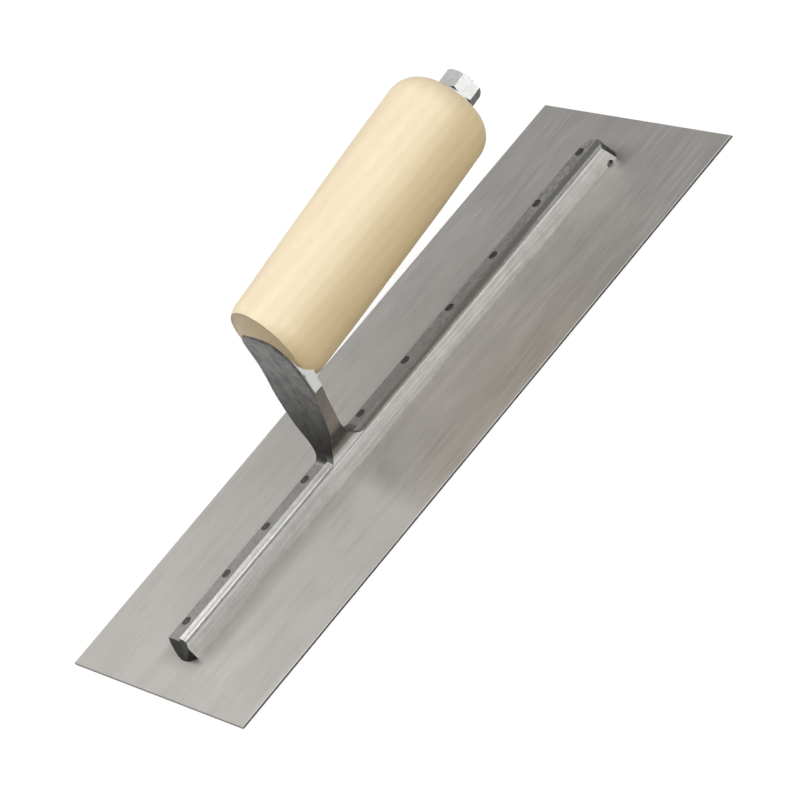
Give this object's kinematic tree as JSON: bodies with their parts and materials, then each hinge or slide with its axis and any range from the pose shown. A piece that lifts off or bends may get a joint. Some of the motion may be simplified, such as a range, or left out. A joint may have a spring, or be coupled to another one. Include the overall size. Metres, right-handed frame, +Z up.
{
  "type": "finishing trowel",
  "caption": "Rectangular steel finishing trowel: flat blade riveted to a cast bar with a curved shank and a turned wooden handle held by a through rod and nut.",
  "frame": {"origin": "centre of the blade's underside, the working face", "axes": "+X along the blade towards the heel, where the nut is; +Y across the blade; +Z up, towards the handle"},
  "size_m": [0.2794, 0.1142, 0.0839],
  "materials": {
    "blade_steel": "ground, fine lengthwise brushing",
    "cast_aluminium": "satin casting, slightly mottled",
    "hardwood": "sanded, unpainted pale hardwood",
    "plated_steel": "bright zinc plating",
    "rivet_steel": "dark, ground flush"
  },
  "bodies": {
    "root": {"blade": "blade_steel", "mounting": "cast_aluminium", "handle": "hardwood", "tang_rod": "plated_steel", "washer": "plated_steel", "hex_nut": "plated_steel", "rivet_01": "rivet_steel", "rivet_02": "rivet_steel", "rivet_03": "rivet_steel", "rivet_04": "rivet_steel", "rivet_05": "rivet_steel", "rivet_06": "rivet_steel", "rivet_07": "rivet_steel", "rivet_08": "rivet_steel", "rivet_09": "rivet_steel", "rivet_10": "rivet_steel"}
  },
  "joints": []
}
